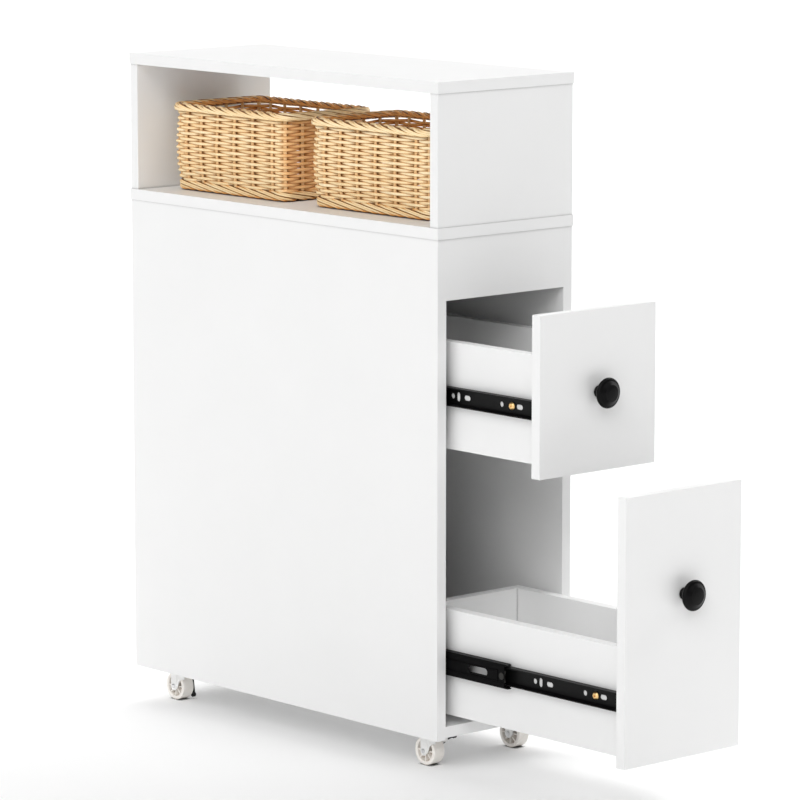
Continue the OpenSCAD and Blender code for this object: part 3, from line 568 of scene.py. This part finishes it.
# ------------------------------------------------------------------ latches at the middle slide members' front ends
def latch(node, side):
    """A thin moulded clip in the web's seat: two waisted arms and a round button, on the side panel's side."""
    lo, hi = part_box(node)
    y0 = lo[1] * 1000
    zc = (lo[2] + hi[2]) * 500
    face = hi[0] * 1000 if side > 0 else lo[0] * 1000
    inward = -side
    def ring(pts, x0, x1):
        n = len(pts)
        verts = [(x * MM, (y0 + y) * MM, (zc + z) * MM) for x in (x0, x1) for y, z in pts]
        faces = [tuple(range(n)), tuple(range(2 * n - 1, n - 1, -1))]
        faces += [(i, i + n, (i + 1) % n + n, (i + 1) % n) for i in range(n)]
        return verts, faces
    outline = []
    for i in range(9):                      # front edge, bowed in
        u = -1 + i / 4
        outline.append((3.1 + 1.5 * (1 - u * u), 6.3 * u))
    for i in range(9):                      # rear edge, bowed in
        u = 1 - i / 4
        outline.append((15.0 - 1.9 * (1 - u * u), 6.3 * u))
    disc = [(9.6 + 3.9 * math.cos(a), 3.9 * math.sin(a)) for a in np.linspace(0, 2 * math.pi, 24, endpoint=False)]
    V, F = [], []
    for pts, a, b in ((outline, 0.55, 1.25), (disc, 0.05, 0.9)):
        v, f = ring(pts, face + inward * a, face + inward * b)
        F += [tuple(i + len(V) for i in q) for q in f]
        V += v
    me = bpy.data.meshes.new(node + "_latch")
    me.from_pydata(V, [], F)
    bm = bmesh.new()
    bm.from_mesh(me)
    bmesh.ops.recalc_face_normals(bm, faces=bm.faces)
    bm.to_mesh(me)
    bm.free()
    me.materials.append(M["latch"])
    o = bpy.data.objects.new(node + "_latch", me)
    scene.collection.objects.link(o)
    bv = o.modifiers.new("edge", "BEVEL")
    bv.width = 0.00015
    bv.segments = 2
    bv.limit_method = "ANGLE"
    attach(o, node.replace("slide_", ""))

for level in ("upper", "lower"):
    latch("slide_mid_%s_left" % level, -1)
    latch("slide_mid_%s_right" % level, 1)

# ------------------------------------------------------------------ floor
bpy.ops.mesh.primitive_plane_add(size=30.0, location=(0, 0, 0))
floor = bpy.context.active_object
floor.name = "floor"
m, nt, b = new_mat("floor_white")
v = obj_coord(nt, (1, 1, 1))
nt.links.new(ramp(nt, noise(nt, v, 2.0, 2.0), [(0.3, (0.89, 0.89, 0.89)), (0.7, (0.90, 0.90, 0.90))]), b.inputs["Base Color"])
b.inputs["Roughness"].default_value = 0.9
b.inputs["Specular IOR Level"].default_value = 0.1
b.inputs["Emission Strength"].default_value = 0.088
# painted contact shadow: the floor's glow dims near the object's contacts
shade = paint_crease_shade(m, 0.0045, 0.25, 0.80, (0.10, 0.10, 0.10))
nt.links.new(shade, b.inputs["Emission Color"])
floor.data.materials.append(m)

# ------------------------------------------------------------------ light
world = bpy.data.worlds.new("studio")
scene.world = world
world.use_nodes = True
bg = world.node_tree.nodes["Background"]
bg.inputs["Color"].default_value = (1.0, 1.0, 1.0, 1)
bg.inputs["Strength"].default_value = 0.02
seen = world.node_tree.nodes.new("ShaderNodeBackground")
seen.inputs["Color"].default_value = (1.0, 1.0, 1.0, 1)
seen.inputs["Strength"].default_value = 1.0
rays = world.node_tree.nodes.new("ShaderNodeLightPath")
both = world.node_tree.nodes.new("ShaderNodeMixShader")
world.node_tree.links.new(rays.outputs["Is Camera Ray"], both.inputs[0])
world.node_tree.links.new(bg.outputs[0], both.inputs[1])
world.node_tree.links.new(seen.outputs[0], both.inputs[2])
world.node_tree.links.new(both.outputs[0], world.node_tree.nodes["World Output"].inputs["Surface"])

def sun(name, direction, strength, angle):
    d = bpy.data.lights.new(name, "SUN")
    d.energy = strength
    d.angle = math.radians(angle)
    o = bpy.data.objects.new(name, d)
    scene.collection.objects.link(o)
    o.rotation_euler = Vector(direction).to_track_quat("-Z", "Y").to_euler()
    return o

for name, way, strength, angle in (
        ("left_low", (1.0, 0.0, -0.27), 0.44, 40), ("left", (1.0, 0.0, -1.0), 0.42, 40),
        ("left_front_low", (0.80, 0.60, -0.27), 0.32, 30), ("left_front", (0.80, 0.60, -0.70), 0.94, 30),
        ("left_front_high", (0.80, 0.60, -1.73), 0.17, 30), ("front", (0.0, 1.0, -1.0), 0.55, 40),
        ("right_low", (-1.0, 0.0, -0.36), 0.54, 40), ("right", (-1.0, 0.0, -1.0), 1.68, 40),
        ("right_back", (-0.6, -0.6, -1.0), 0.97, 40), ("back", (0.0, -1.0, -1.0), 0.61, 40),
        ("overhead", (0.0, 0.0, -1.0), 0.07, 12)):
    sun(name, way, strength, angle)

scene.view_settings.view_transform = "Standard"
scene.view_settings.look = "None"
scene.view_settings.exposure = 0.0
scene.view_settings.gamma = 1.0
